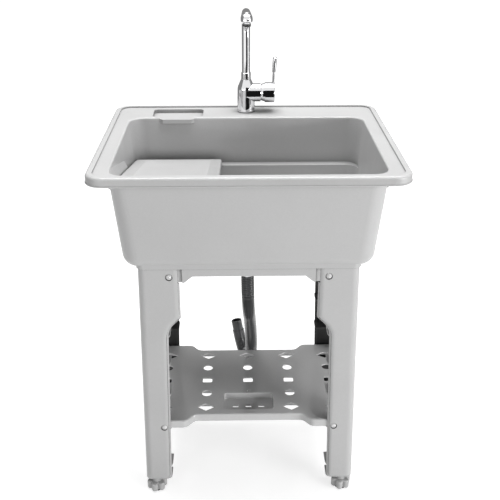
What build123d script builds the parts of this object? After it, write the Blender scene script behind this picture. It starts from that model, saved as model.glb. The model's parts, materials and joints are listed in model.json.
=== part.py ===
from build123d import *
import math
import os

os.makedirs("parts", exist_ok=True)

# Utility laundry sink: a moulded tub on four channel legs, with a washboard, a shelf,
# a drain with a hanging hose, and a single-lever tap with a pull-out head.
# Millimetres. +Z is up, -Y is the front, and the origin is on the floor under the rim's centre.

# ---------------------------------------------------------------- rim and deck
rim_width = 610.0
rim_depth = 500.0
rim_top = 780.0
rim_corner = 38.0
bead_width = 13.0
bead_height = 3.0
bead_crown = 5.5
lip_height = 18.0
lip_bead = 1.2
lip_bead_height = 2.6
lip_bead_round = 1.0
wall = 4.0
deck_z = rim_top - bead_height
lip_bottom = rim_top - lip_height

# ---------------------------------------------------------------- basin
deck_side = 43.0
deck_front = 28.0
deck_back = 100.0
basin_half_width = rim_width / 2 - deck_side
basin_front_y = -rim_depth / 2 + deck_front
basin_back_y = rim_depth / 2 - deck_back
basin_corner = 30.0
mouth_round = 3.6
side_draft = 0.08
front_draft = 0.105
back_draft = 0.07
basin_depth = 200.0
ledge_height = 96.0
floor_z = deck_z - basin_depth
ledge_z = floor_z + ledge_height
ledge_depth = 22.0
floor_thickness = 5.0
bottom_round = 26.0
tub_bottom = floor_z - floor_thickness
rib_thickness = 3.0
rear_rib_count = 8
rear_rib_pitch = 60.0
rear_rib_reach = 16.0
deck_rib_height = 30.0
gusset_front = 32.0
gusset_middle = 182.0
gusset_back = 45.0
gusset_ys = (basin_front_y + gusset_front, basin_front_y + gusset_middle, basin_back_y - gusset_back)
gusset_height = 38.0
gusset_lip_gap = 5.0

# ---------------------------------------------------------------- soap dish in the deck
dish_side = 48.0
dish_length = 115.0
dish_back_gap = 9.0
dish_breadth = 61.0
dish_left = -basin_half_width + dish_side
dish_right = dish_left + dish_length
dish_front_y = basin_back_y + dish_back_gap
dish_back_y = dish_front_y + dish_breadth
dish_depth = 8.0
dish_corner = 9.0
dish_wall = 3.0
lobe_half = 29.0
lobe_taper = 9.0
lobe_reach = 5.0
lobe_drop = 2.0

# ---------------------------------------------------------------- plinth under the tub
plinth_height = 2.0
frame_side_inset = 40.0
frame_front_inset = 24.0
frame_top = tub_bottom - plinth_height
frame_half_width = basin_half_width - frame_side_inset
frame_front_y = basin_front_y + frame_front_inset
frame_mid_y = (basin_front_y + basin_back_y) / 2
frame_half_depth = frame_mid_y - frame_front_y
plinth_overlap = 20.0
plinth_wall = 14.0
plinth_corner = 16.0
plinth_front_step = 2.0
plinth_side_step = 3.0

# ---------------------------------------------------------------- legs
leg_bottom = 27.0
leg_spread = 12.0
leg_depth = 45.0
leg_wall = 3.0
leg_corner = 15.0
leg_width_top = 85.0
leg_width_mid = 58.0
leg_width_foot = 48.5
leg_knee_drop = 117.0
leg_knee_height = 27.0
leg_inner_top = frame_half_width - leg_width_top
leg_inner_mid = frame_half_width - leg_width_mid
leg_inner_foot = frame_half_width - leg_width_foot
leg_knee_top = frame_top - leg_knee_drop
leg_knee_low = leg_knee_top - leg_knee_height
leg_knee_corner = 4.0
leg_knee_sweep = 38.0
leg_foot_corner = 11.0
leg_foot_outer_corner = 6.0
border_set_back = 3.5
border_width_high = 3.0
border_width_low = 7.0
border_width_foot = 10.0
leg_rib_zs = (70.0, 262.0, 340.0, 410.0)
leg_end_plate = 4.0
part_gap = 0.3

# ---------------------------------------------------------------- rails
rail_height = 17.0
rail_tab_drop = 31.0
rail_end_gap = 3.5
rail_tab_width = 3.5
rail_chamfer = 17.0
rail_tab_lap = 48.0
rail_tab_x = leg_inner_top - rail_end_gap - rail_tab_width
rail_chamfer_x = rail_tab_x - rail_chamfer
rail_tab_reach = leg_inner_top + rail_tab_lap
rail_thickness = 4.0
rail_flange_depth = 30.0

# ---------------------------------------------------------------- screws
screw_upper_inset = 23.0
screw_upper_drop = 19.0
screw_lower_inset = 22.0
screw_lower_drop = 12.0
screw_upper_x = leg_inner_top + screw_upper_inset
screw_upper_z = frame_top - screw_upper_drop
screw_lower_x = leg_inner_mid + screw_lower_inset
screw_head = 11.5
screw_head_height = 3.4
screw_shaft = 5.0
screw_length = 15.0
screw_pilot = 5.04
screw_hole = 5.6
screw_seat = 15.0
screw_seat_depth = 2.0
screw_boss = 11.0
screw_slot_length = 6.0
screw_slot_width = 1.3
screw_slot_depth = 1.4

# ---------------------------------------------------------------- shelf
shelf_top = 191.0
shelf_depth = 18.0
shelf_sheet = 3.0
shelf_side_gap = 7.0
shelf_front_gap = 8.0
shelf_waist = 23.0
shelf_lug = 77.0
shelf_shoulder = 18.0
shelf_half_length = frame_half_width - shelf_side_gap
shelf_end_half = frame_half_depth - shelf_front_gap
shelf_waist_half = shelf_end_half - shelf_waist
shelf_shoulder_x = shelf_half_length - shelf_lug
shelf_waist_x = shelf_shoulder_x - shelf_shoulder
shelf_sweep = 18.0
shelf_corner = 8.0
shelf_crown = 3.5
screw_lower_z = shelf_top - screw_lower_drop
hole_pitch_x = 96.0
hole_row_pitch = 52.0
hole_row_ys = [frame_mid_y + step * hole_row_pitch for step in (2, 1, 0, -1, -2)]
diamond_length = 40.0
diamond_width = 27.0
round_hole = 22.5
slot_hole_length = 22.5
slot_hole_width = 18.0
slot_hole_corner = 3.0
shelf_rib_depth = 5.5
shelf_rib_thickness = 2.5
tray_half_length = 56.0
tray_place = 52.0
tray_breadth = 62.0
tray_back_y = frame_mid_y - tray_place
tray_front_y = tray_back_y - tray_breadth
tray_corner = 8.0
tray_depth = 15.0
tray_slot_pitch = 29.0
tray_slot_length = 15.0
tray_slot_width = 6.0
tray_slot_corner = 2.7
tray_rows = (3, 4)
vent_hole = 7.5
vent_gap = 7.0
vent_y = tray_back_y + vent_gap

# ---------------------------------------------------------------- levelling feet
foot_side_inset = 11.0
foot_x = frame_half_width - foot_side_inset
foot_inset = 15.0
knob_core = 15.0
knob_lobe = 7.0
knob_lobe_place = 15.5
knob_lobe_count = 6
knob_lobe_phase = 15.0
knob_bottom = 3.3
knob_top = 23.0
knob_round = 2.4
knob_neck = 20.0
knob_neck_top = 26.5
stud = 10.0
stud_bottom = 13.0
stud_top = 54.0
stud_fit = 0.1
insert_outer = 16.0
insert_top = 58.0
boss_outer = 23.0
pad_diameter = 29.0
pad_height = 3.0
pad_pin = 6.0
pad_pin_length = 7.0

# ---------------------------------------------------------------- washboard
board_width = 194.5
board_side_gap = 10.5
board_back_gap = 22.0
board_front_gap = 17.0
board_rise = 13.0
board_left = -basin_half_width + board_side_gap
board_right = board_left + board_width
board_back_y = basin_back_y - board_back_gap
board_front_y = basin_front_y + board_front_gap
board_back_top = ledge_z + board_rise
board_slope = 12.3
board_skirt = 12.0
board_sheet = 3.0
board_corner = 9.0
board_crown = 3.0
ridge_pitch = 13.0
ridge_margin = 24.0
ridge_radius = 3.2
ridge_rise = 0.6
guide_gap = 0.5
guide_rise = 22.0
guide_slant = 10.0
guide_length = 205.0
rest_thickness = 6.0
rest_reach = 12.0
rest_root = 16.0

# ---------------------------------------------------------------- drain
drain_y = 10.0
flange_diameter = 80.0
flange_height = 3.0
flange_seat = 1.5
flange_tube = 60.0
flange_bore = 54.0
flange_tube_length = 29.0
flange_tube_bottom = floor_z - flange_tube_length
basket_seat = 66.0
basket_rim = 65.4
basket_cup = 50.0
basket_depth = 22.0
basket_sheet = 1.5
basket_hole = 4.0
basket_hole_ring = 15.0
basket_hole_count = 10
basket_post = 5.0
basket_knob_diameter = 15.0
basket_knob_height = 9.0
basket_post_height = 9.0
gasket_diameter = 84.0
gasket_height = 3.0
washer_height = 1.5
drain_nut = 78.0
drain_nut_height = 12.0
drain_nut_lugs = 8
drain_nut_lug = 9.0
slip_nut_diameter = 72.0
slip_nut_lap = 7.0
slip_nut_height = 17.0
slip_nut_top = flange_tube_bottom + slip_nut_lap
slip_nut_bottom = slip_nut_top - slip_nut_height
slip_nut_lip = 4.0
slip_nut_mouth = 56.0
slip_nut_grips = 12
slip_nut_grip = 6.0
thread_fit = 0.3
tail_cone = 18.0
tail_cone_bottom = slip_nut_bottom - tail_cone
tail_wall = 2.3
tail_tube = 24.6
tail_collar = 30.0
tail_collar_height = 4.0
tail_neck = 40.0
tail_spigot = 34.0

# ---------------------------------------------------------------- hose
hose_outer = 30.0
hose_bore = 25.0
hose_top = tail_cone_bottom - tail_neck
tail_bottom = hose_top - tail_spigot
hose_cuff = 31.0
hose_rib_start = hose_top - hose_cuff
hose_rib_count = 9
hose_rib_pitch = 6.2
hose_rib_root = 26.4
hose_rib_crest_share = 0.35
hose_lead = 17.2
turn_share = 0.45
first_turn_share = 0.95
clamp_height = 11.0
clamp_rise = 2.0
clamp_bottom = hose_rib_start + clamp_rise
clamp_band = 1.3
clamp_gap = 0.2
clamp_housing = (13.0, 9.0, 10.0)
clamp_screw = 7.0
clamp_screw_length = 19.0
cuff_outer = 27.0
cuff_bore = 20.0
cuff_length = 27.0

# ---------------------------------------------------------------- tap
tap_back_gap = 45.0
tap_y = rim_depth / 2 - tap_back_gap
tap_hole = 35.0
seal_height = 1.5
seal_outer = 40.5
body_foot = 41.5
body_foot_height = 3.0
body_low = 41.0
body_waist = 39.0
body_waist_rise = 56.0
body_waist_z = deck_z + body_waist_rise
body_neck = 23.5
body_height = 74.0
body_top = deck_z + body_height
body_bore = 26.0
bush_outer = 21.0
bush_height = 13.0
bush_fit = 0.1
neck_outer = 18.6
neck_bore = 16.0
neck_fit = 0.1
collar_outer = 22.0
collar_height = 16.0
collar_round = 1.2
neck_straight = 105.0
neck_bend = 50.0
neck_reach = 62.0
neck_bend_z = body_top + neck_straight
neck_end_y = tap_y - neck_reach
shank_outer = 33.0
shank_drop = 42.0
shank_bottom = deck_z - shank_drop
shank_wall = 3.0
tap_washer_outer = 52.0
tap_washer_height = 3.0
tap_nut_across = 46.0
tap_nut_height = 10.0
inlet_thread = 10.0
inlet_offset = 6.6
inlet_depth = 14.0
inlet_plug_height = 22.0

# ---------------------------------------------------------------- valve and lever
barrel_rise = 43.5
barrel_z = deck_z + barrel_rise
barrel_outer = 42.0
barrel_end_x = 33.4
barrel_bore = 34.0
barrel_bore_start = 14.5
cartridge_fit = 0.2
cartridge_outer = barrel_bore - cartridge_fit
cartridge_step = 3.4
cartridge_end_x = barrel_end_x - cartridge_step
pivot_reach = 10.6
pivot_x = barrel_end_x + pivot_reach
bonnet_radius = 20.8
bonnet_reach = 6.0
bonnet_end_x = pivot_x + bonnet_reach
bonnet_bore = 28.0
bonnet_gap = 0.3
hub_outer = 46.0
hub_lap = 0.8
hub_reach = 22.0
hub_cavity = 14.0
hub_start_x = pivot_x - hub_lap
hub_end_x = pivot_x + hub_reach
hub_cavity_end_x = pivot_x + hub_cavity
hub_round = 2.0
stem_diameter = 8.0
stem_ball = 12.0
stem_neck_x = cartridge_end_x + part_gap
socket_fit = 0.1
socket_outer = 19.0
plug_diameter = 6.0
plug_depth = 2.0
lever_inset = 5.5
lever_root_x = hub_end_x - lever_inset
lever_lean = 4.0
lever_diameter = 5.5
lever_length = 47.0
lever_root_depth = 4.0
lever_tenon = 4.0
grip_diameter = 9.5
grip_low_diameter = 8.0
grip_swell = 20.0
grip_length = 34.0
grip_round = 3.0

# ---------------------------------------------------------------- pull-out head
head_rear = 20.0
head_mid = 22.5
head_front = 25.0
head_length = 71.0
head_ball = 14.0
head_taper = 26.0
head_ball_y = neck_end_y - head_length
head_front_y = head_ball_y + head_ball
head_mid_y = head_front_y + head_taper
head_wall = 1.8
head_gap = 0.4
pull_hose = 10.0
pull_hose_bore = 7.0
pull_hose_end_gap = 6.0
pull_hose_tail = 11.0
pull_hose_end_y = head_ball_y + pull_hose_end_gap
pull_hose_start_y = neck_end_y + pull_hose_tail
pull_hose_fit = 0.3
guide_bush_length = 10.0
guide_bush_fit = 0.1
nozzle_tilt = 67.0
nozzle_outer = 17.5
nozzle_start = 4.0
nozzle_face = 11.5
nozzle_ring_height = 2.2
nozzle_ring_bore = 13.5
nozzle_plate_rise = 0.6
nozzle_bead = 1.5
nozzle_bead_radii = (0.0, 2.7, 5.1)
nozzle_bead_counts = (1, 5, 9)
button_inset = 2.0
button_y = head_ball_y + button_inset
button_diameter = 7.0
button_rise = 2.6
button_travel = 1.6
button_fit = 0.1
button_height = 4.6
button_skirt = 9.2
button_skirt_height = 1.2


def slab(width, depth, corner, y_mid, bottom, top):
    """A block with rounded plan corners, centred on X."""
    sheet = Plane(origin=(0, y_mid, bottom)) * RectangleRounded(width, depth, corner)
    return extrude(sheet, amount=top - bottom)


def block(x0, x1, y0, y1, z0, z1):
    """A plain block between two corners."""
    centre = Pos((x0 + x1) / 2, (y0 + y1) / 2, (z0 + z1) / 2)
    return centre * Box(x1 - x0, y1 - y0, z1 - z0)


def rod(diameter, x, y, bottom, top):
    """An upright cylinder."""
    return Pos(x, y, (bottom + top) / 2) * Cylinder(diameter / 2, top - bottom)


def pipe(outer, bore, x, y, bottom, top):
    """An upright tube."""
    return rod(outer, x, y, bottom, top) - rod(bore, x, y, bottom, top)


def rod_y(diameter, x, z, y0, y1):
    """A cylinder along Y."""
    return Pos(x, (y0 + y1) / 2, z) * Rot(90, 0, 0) * Cylinder(diameter / 2, y1 - y0)


def rod_x(diameter, y, z, x0, x1):
    """A cylinder along X."""
    return Pos((x0 + x1) / 2, y, z) * Rot(0, 90, 0) * Cylinder(diameter / 2, x1 - x0)


def plate_xz(points, y0, y1):
    """A plate whose outline lies in the XZ plane, between two Y places."""
    outline = make_face(Polyline(*[(x, y0, z) for x, z in points], close=True))
    return extrude(outline, amount=y1 - y0, dir=(0, 1, 0))


def plate_yz(points, x0, x1):
    """A plate whose outline lies in the YZ plane, between two X places."""
    outline = make_face(Polyline(*[(x0, y, z) for y, z in points], close=True))
    return extrude(outline, amount=x1 - x0, dir=(1, 0, 0))


def turned(points, x, y):
    """A turned piece: points are (radius, height) round an upright axis."""
    outline = make_face(Polyline(*[(x + r, y, z) for r, z in points], close=True))
    return revolve(outline, axis=Axis((x, y, 0), (0, 0, 1)))


def mirror_x(shape):
    return mirror(shape, about=Plane.YZ)


def mirror_rear(shape):
    return mirror(shape, about=Plane(origin=(0, frame_mid_y, 0), z_dir=(0, 1, 0)))


def four_ways(shape):
    left = mirror_x(shape)
    return Compound(children=[shape, left, mirror_rear(shape), mirror_rear(left)])


def write(name, shape):
    export_step(shape, "parts/" + name + ".step")


# ================================================================= tub
def basin_half(z):
    return basin_half_width - side_draft * (deck_z - z)


def basin_front(z):
    return basin_front_y + front_draft * (deck_z - z)


def basin_back(z):
    return basin_back_y - back_draft * (deck_z - z)


def basin_section(z, grow, back_inset):
    front = basin_front(z) - grow
    back = basin_back(z) - back_inset + grow
    sheet = RectangleRounded(2 * (basin_half(z) + grow), back - front, basin_corner + grow)
    return Plane(origin=(0, (front + back) / 2, z)) * sheet


def basin_form(top, bottom, grow, back_inset):
    sections = [basin_section(top, grow, back_inset), basin_section(bottom, grow, back_inset)]
    return loft(sections, ruled=True)


def bottom_edges(shape):
    return shape.faces().sort_by(Axis.Z)[0].edges()


def top_edges(shape):
    return shape.faces().sort_by(Axis.Z)[-1].edges()


plinth_front_y = frame_front_y - plinth_front_step
plinth_back_y = 2 * frame_mid_y - plinth_front_y


def rim_shell():
    face_width = rim_width - 2 * lip_bead
    face_depth = rim_depth - 2 * lip_bead
    rim = slab(face_width, face_depth, rim_corner - lip_bead, 0, lip_bottom, rim_top)
    rim = fillet(top_edges(rim), bead_crown)
    deck_inset = 2 * (lip_bead + bead_width)
    deck_corner = rim_corner - lip_bead - bead_width
    rim -= slab(rim_width - deck_inset, rim_depth - deck_inset, deck_corner, 0, deck_z, rim_top + 1)
    foot = slab(rim_width, rim_depth, rim_corner, 0, lip_bottom, lip_bottom + lip_bead_height)
    rim += fillet(top_edges(foot) + bottom_edges(foot), lip_bead_round)
    under_inset = 2 * (lip_bead + wall)
    under_corner = rim_corner - lip_bead - wall
    rim -= slab(rim_width - under_inset, rim_depth - under_inset, under_corner, 0,
                lip_bottom - 1, deck_z - wall)
    return rim


def rear_ribs():
    """Ribs that carry the ledge and stiffen the deck behind the back wall."""
    ribs = []
    for index in range(rear_rib_count):
        x = (index - (rear_rib_count - 1) / 2) * rear_rib_pitch
        high = basin_back(ledge_z) + wall
        low = basin_back(tub_bottom) - ledge_depth
        points = [(low, tub_bottom + bottom_round / 2), (high - ledge_depth, ledge_z - wall / 2)]
        points += [(high - wall / 2, ledge_z - wall / 2)]
        points += [(low + rear_rib_reach, tub_bottom + bottom_round / 2)]
        ribs.append(plate_yz(points, x - rib_thickness / 2, x + rib_thickness / 2))
        low_z = deck_z - wall - deck_rib_height
        back = rim_depth / 2 - lip_bead - wall / 2
        points = [(basin_back(low_z) + wall / 2, low_z), (basin_back(deck_z) + wall / 2, deck_z - wall / 2)]
        points += [(back, deck_z - wall / 2), (back, lip_bottom + lip_bead_height)]
        ribs.append(plate_yz(points, x - rib_thickness / 2, x + rib_thickness / 2))
    return ribs


def side_gussets():
    """Small webs between the rim's lip and the side walls."""
    gussets = []
    low_z = deck_z - wall - gusset_height
    wall_x = basin_half(low_z) + wall / 2
    lip_x = rim_width / 2 - lip_bead - wall / 2
    points = [(wall_x, low_z), (wall_x, deck_z - wall / 2), (lip_x, deck_z - wall / 2)]
    points += [(lip_x, lip_bottom + gusset_lip_gap)]
    for y in gusset_ys:
        right = plate_xz(points, y - rib_thickness / 2, y + rib_thickness / 2)
        gussets += [right, mirror_x(right)]
    return gussets


dish_mid_x = (dish_left + dish_right) / 2
dish_mid_y = (dish_front_y + dish_back_y) / 2


def dish_lobe(grow, bottom, top):
    """The dish's front lobe, which overhangs the basin."""
    root_y = dish_front_y + dish_corner
    front_y = basin_back_y - lobe_reach
    half_back = lobe_half + lobe_taper + grow
    half_front = lobe_half + grow
    points = [(dish_mid_x - half_back, root_y), (dish_mid_x + half_back, root_y)]
    points += [(dish_mid_x + half_back, basin_back_y), (dish_mid_x + half_front, front_y - grow)]
    points += [(dish_mid_x - half_front, front_y - grow), (dish_mid_x - half_back, basin_back_y)]
    outline = make_face(Polyline(*[(x, y, bottom) for x, y in points], close=True))
    return extrude(outline, amount=top - bottom, dir=(0, 0, 1))


def soap_dish():
    """The dish's shell and the space inside it."""
    length = dish_right - dish_left
    depth = dish_back_y - dish_front_y
    floor = deck_z - dish_depth
    outer = Plane(origin=(dish_mid_x, dish_mid_y, floor - dish_wall))
    shell = extrude(outer * RectangleRounded(length + 2 * dish_wall, depth + 2 * dish_wall,
                                             dish_corner + dish_wall), amount=dish_depth)
    shell += dish_lobe(dish_wall, floor - dish_wall, deck_z - lobe_drop)
    inner = Plane(origin=(dish_mid_x, dish_mid_y, floor))
    space = extrude(inner * RectangleRounded(length, depth, dish_corner), amount=dish_depth + 1)
    space += dish_lobe(0, floor, deck_z + 1)
    return shell, space


board_run = (board_back_y - board_front_y) / math.cos(math.radians(board_slope))
board_mid_x = (board_left + board_right) / 2
board_tilt = math.radians(board_slope)
board_plane = Plane(origin=(0, board_back_y, board_back_top), x_dir=(1, 0, 0),
                    z_dir=(0, math.sin(board_tilt), math.cos(board_tilt)))


def board_rests():
    """A guide on the left wall beside the board, and the rest under the board's front end."""
    guide_x = board_left - guide_gap
    outside_x = -basin_half_width - 2 * wall
    low = -board_skirt - rest_thickness
    points = [(outside_x, low), (guide_x, low), (guide_x, board_crown)]
    points += [(guide_x - guide_slant, guide_rise), (outside_x, guide_rise)]
    section = make_face(Polyline(*[(x, 0, z) for x, z in points], close=True))
    guide = extrude(section, amount=guide_length, dir=(0, 1, 0))
    guide = board_plane * Pos(0, -board_run - rest_root, 0) * guide
    top = -board_skirt - part_gap
    rest = block(board_left - 2 * wall, board_right, -board_run - rest_root, -board_run + rest_reach,
                 top - rest_thickness, top)
    return guide + board_plane * rest


def on_mouth(box):
    """Whether an edge's bounding box lies on the basin's mouth, level with the deck."""
    level = box.size.Z < part_gap and abs(box.max.Z - deck_z) < part_gap
    beside = max(box.max.X, -box.min.X) < basin_half_width + part_gap
    return level and beside and box.max.Y < basin_back_y + part_gap


def tub():
    shell = basin_form(deck_z - wall, ledge_z - wall, wall, 0)
    lower = basin_form(ledge_z - wall, tub_bottom, wall, ledge_depth)
    shell += fillet(bottom_edges(lower), bottom_round)
    shell += rim_shell()
    envelope = shell
    for rib in rear_ribs() + side_gussets():
        shell += rib
    plinth_mid = (plinth_front_y + plinth_back_y) / 2
    plinth_depth = plinth_back_y - plinth_front_y
    plinth_top = tub_bottom + plinth_overlap
    plinth_width = 2 * (frame_half_width + plinth_side_step)
    shell += slab(plinth_width, plinth_depth, plinth_corner, plinth_mid, frame_top, plinth_top)
    shell -= slab(2 * (frame_half_width - plinth_wall), plinth_depth - 2 * plinth_wall,
                  plinth_corner / 2, plinth_mid, frame_top, tub_bottom)
    dish, dish_space = soap_dish()
    shell -= basin_form(rim_top + 1, ledge_z, 0, 0)
    bowl = basin_form(ledge_z, floor_z, 0, ledge_depth)
    shell -= fillet(bottom_edges(bowl), bottom_round - wall)
    shell = fillet([edge for edge in shell.edges() if on_mouth(edge.bounding_box())], mouth_round)
    shell += board_rests() & envelope
    shell += dish
    shell -= dish_space
    shell -= rod(tap_hole, 0, tap_y, deck_z - 2 * wall, rim_top)
    shell -= rod(flange_tube + 2 * thread_fit, 0, drain_y, tub_bottom - 1, floor_z + 1)
    shell -= rod(flange_diameter + 2 * thread_fit, 0, drain_y, floor_z - flange_seat, floor_z + 1)
    return shell


write("tub", tub())


# ================================================================= washboard
def washboard():
    width = board_right - board_left
    sheet = RectangleRounded(width, board_run, board_corner)
    body = extrude(Pos(board_mid_x, -board_run / 2, -board_skirt) * sheet, amount=board_skirt)
    body = fillet(top_edges(body), board_crown)
    count = int((board_run - 2 * ridge_margin) // ridge_pitch) + 1
    span = (count - 1) * ridge_pitch
    for index in range(count):
        y = -board_run / 2 - span / 2 + index * ridge_pitch
        ridge = rod_x(2 * ridge_radius, y, ridge_rise - ridge_radius,
                      board_left + ridge_margin, board_right - ridge_margin)
        body += ridge
    hollow = RectangleRounded(width - 2 * board_sheet, board_run - 2 * board_sheet,
                              board_corner - board_sheet)
    body -= extrude(Pos(board_mid_x, -board_run / 2, -board_skirt) * hollow,
                    amount=board_skirt - board_sheet)
    return board_plane * body


write("washboard", washboard())


# ================================================================= frame
leg_back_y = frame_front_y + leg_depth
tab_front_y = frame_front_y + leg_wall + part_gap


def leg_outer_x(z):
    return frame_half_width + leg_spread * (frame_top - z) / (frame_top - leg_bottom)


def leg_outline(inset_high, inset_low, inset_foot, y):
    """A leg's front view, with its inner edge and its foot drawn in by the given insets."""
    bottom = leg_bottom + inset_foot
    points = [
        (frame_half_width, y, frame_top),
        (leg_outer_x(bottom), y, bottom),
        (leg_inner_foot + inset_low, y, bottom),
        (leg_inner_mid + inset_low, y, leg_knee_low),
        (leg_inner_top + inset_high, y, leg_knee_top),
        (leg_inner_top + inset_high, y, frame_top),
    ]
    radii = [leg_foot_outer_corner, leg_foot_corner, leg_knee_sweep, leg_knee_corner]
    edge = FilletPolyline(*points, radius=radii)
    return make_face(edge + Line(points[-1], points[0]))


def front_outer_edge(shape):
    """The tall edge at a leg's front outer corner."""
    tall = frame_top - leg_bottom - leg_corner
    outer_pair = shape.edges().filter_by(lambda edge: edge.length > tall).sort_by(Axis.X)[-2:]
    return outer_pair.sort_by(Axis.Y)[0]


def leg_front_right():
    outline = leg_outline(0, 0, 0, frame_front_y)
    solid = extrude(outline, amount=leg_depth, dir=(0, 1, 0))
    solid = fillet(front_outer_edge(solid), leg_corner)
    inner_points = [(0, frame_top + 1), (leg_outer_x(frame_top) - leg_wall, frame_top + 1)]
    inner_points += [(leg_outer_x(leg_bottom) - leg_wall, leg_bottom - 1), (0, leg_bottom - 1)]
    inner = plate_xz(inner_points, frame_front_y + leg_wall, leg_back_y + 1)
    inner = fillet(front_outer_edge(inner), leg_corner - leg_wall)
    shell = solid - inner
    border_top = frame_top - rail_tab_drop - rail_end_gap
    below_tab = block(0, 2 * frame_half_width, frame_front_y - 1, leg_back_y, leg_bottom, border_top)
    panel = leg_outline(border_width_high, border_width_low, border_width_foot, frame_front_y)
    frame_piece = extrude(outline, amount=border_set_back, dir=(0, 1, 0))
    frame_piece -= extrude(panel, amount=border_set_back, dir=(0, 1, 0))
    shell -= frame_piece & below_tab
    strip_y = frame_front_y + border_set_back
    lap = leg_wall
    strip = extrude(leg_outline(0, 0, 0, strip_y), amount=leg_wall, dir=(0, 1, 0))
    strip -= extrude(leg_outline(border_width_high + lap, border_width_low + lap,
                                 border_width_foot + lap, strip_y), amount=leg_wall, dir=(0, 1, 0))
    shell += strip & below_tab & solid
    whole = solid & block(0, 2 * frame_half_width, frame_front_y, leg_back_y, leg_bottom, frame_top)
    seat_top = shelf_top - shelf_depth
    for rib_top in leg_rib_zs + (seat_top,):
        slice_block = block(0, 2 * frame_half_width, frame_front_y + 2 * leg_wall, leg_back_y,
                            rib_top - rib_thickness, rib_top)
        shell += whole & slice_block
    shell += whole & block(0, 2 * frame_half_width, frame_front_y + 2 * leg_wall, leg_back_y,
                           leg_bottom, leg_bottom + leg_end_plate)
    shell += whole & block(0, 2 * frame_half_width, frame_front_y + 2 * leg_wall + rail_thickness,
                           leg_back_y, frame_top - leg_end_plate, frame_top)
    foot_y = frame_front_y + foot_inset
    shell += rod(boss_outer, foot_x, foot_y, leg_bottom, insert_top)
    shell -= rod(insert_outer, foot_x, foot_y, leg_bottom - 1, insert_top + 1)
    for x, z in ((screw_upper_x, screw_upper_z), (screw_lower_x, screw_lower_z)):
        shell -= rod_y(screw_hole, x, z, frame_front_y - 1, frame_front_y + 3 * leg_wall)
        shell -= rod_y(screw_seat, x, z, frame_front_y - 1, frame_front_y + screw_seat_depth)
    return shell


leg = leg_front_right()
write("leg_front_right", leg)
write("leg_front_left", mirror_x(leg))
write("leg_rear_right", mirror_rear(leg))
write("leg_rear_left", mirror_rear(mirror_x(leg)))


def front_rail():
    end_x = leg_inner_top - rail_end_gap
    low = frame_top - rail_height
    tab_low = frame_top - rail_tab_drop
    half = [(0, frame_top), (end_x, frame_top), (end_x, tab_low), (rail_tab_x, tab_low)]
    half += [(rail_chamfer_x, low), (0, low)]
    apron = plate_xz(half, frame_front_y, frame_front_y + rail_thickness)
    tab_points = [(rail_chamfer_x, frame_top), (rail_tab_reach, frame_top), (rail_tab_reach, tab_low)]
    tab_points += [(rail_tab_x, tab_low), (rail_chamfer_x, low)]
    apron += plate_xz(tab_points, tab_front_y, tab_front_y + rail_thickness)
    apron += block(0, end_x, frame_front_y + rail_thickness / 2, frame_front_y + rail_flange_depth,
                   frame_top - rail_thickness, frame_top)
    boss_back = frame_front_y + screw_seat_depth + screw_length + 1
    apron += rod_y(screw_boss, screw_upper_x, screw_upper_z, tab_front_y, boss_back)
    apron -= rod_y(screw_pilot, screw_upper_x, screw_upper_z, tab_front_y - 1, boss_back + 1)
    return apron + mirror_x(apron)


rail = front_rail()
write("front_rail", rail)
write("rear_rail", mirror_rear(rail))


def front_screw(x, z):
    """A domed cross-recess screw, driven into the frame's front."""
    seat_y = frame_front_y + screw_seat_depth
    top_y = seat_y - screw_head_height
    radius = screw_head / 2
    dome = (radius ** 2 + screw_head_height ** 2) / (2 * screw_head_height)
    head = Pos(x, top_y + dome, z) * Sphere(dome)
    head &= rod_y(screw_head, x, z, top_y - 1, seat_y)
    slot = block(x - screw_slot_length / 2, x + screw_slot_length / 2, top_y - 1,
                 top_y + screw_slot_depth, z - screw_slot_width / 2, z + screw_slot_width / 2)
    head -= slot
    head -= Pos(x, 0, z) * Rot(0, 90, 0) * Pos(-x, 0, -z) * slot
    return head + rod_y(screw_shaft, x, z, seat_y, seat_y + screw_length)


write("upper_leg_screws", four_ways(front_screw(screw_upper_x, screw_upper_z)))
write("lower_leg_screws", four_ways(front_screw(screw_lower_x, screw_lower_z)))


# ================================================================= shelf
def shelf_outline(inset):
    quarter = [
        (shelf_waist_x, shelf_waist_half - inset, shelf_sweep + inset),
        (shelf_shoulder_x, shelf_end_half - inset, shelf_sweep - inset),
        (shelf_half_length - inset, shelf_end_half - inset, shelf_corner - inset),
    ]
    points = []
    for side_x, side_y in ((1, 1), (1, -1), (-1, -1), (-1, 1)):
        run = quarter if side_x * side_y > 0 else quarter[::-1]
        points += [(side_x * x, frame_mid_y + side_y * y, radius) for x, y, radius in run]
    corners = [(x, y) for x, y, _ in points]
    radii = [radius for _, _, radius in points]
    return make_face(FilletPolyline(*corners, radius=radii, close=True))


def diamond():
    corners = [(diamond_length / 2, 0), (0, diamond_width / 2)]
    corners += [(-diamond_length / 2, 0), (0, -diamond_width / 2)]
    return make_face(Polyline(*corners, close=True))


def shelf_cutters():
    """The shelf's five rows of holes; the tray takes the place of the middle ones in front."""
    disc = Circle(round_hole / 2)
    oblong = RectangleRounded(slot_hole_length, slot_hole_width, slot_hole_corner)
    sheets = (diamond(), disc, oblong, disc, diamond())
    height = shelf_sheet + 2
    low = shelf_top + 1 - height
    cutters = [extrude(Pos(0, vent_y, low) * Circle(vent_hole / 2), amount=height)]
    for row, y in enumerate(hole_row_ys):
        columns = (-2, -1, 1, 2) if row in tray_rows else (-2, -1, 0, 1, 2)
        for column in columns:
            cutters.append(extrude(Pos(column * hole_pitch_x, y, low) * sheets[row], amount=height))
    return cutters


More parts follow.
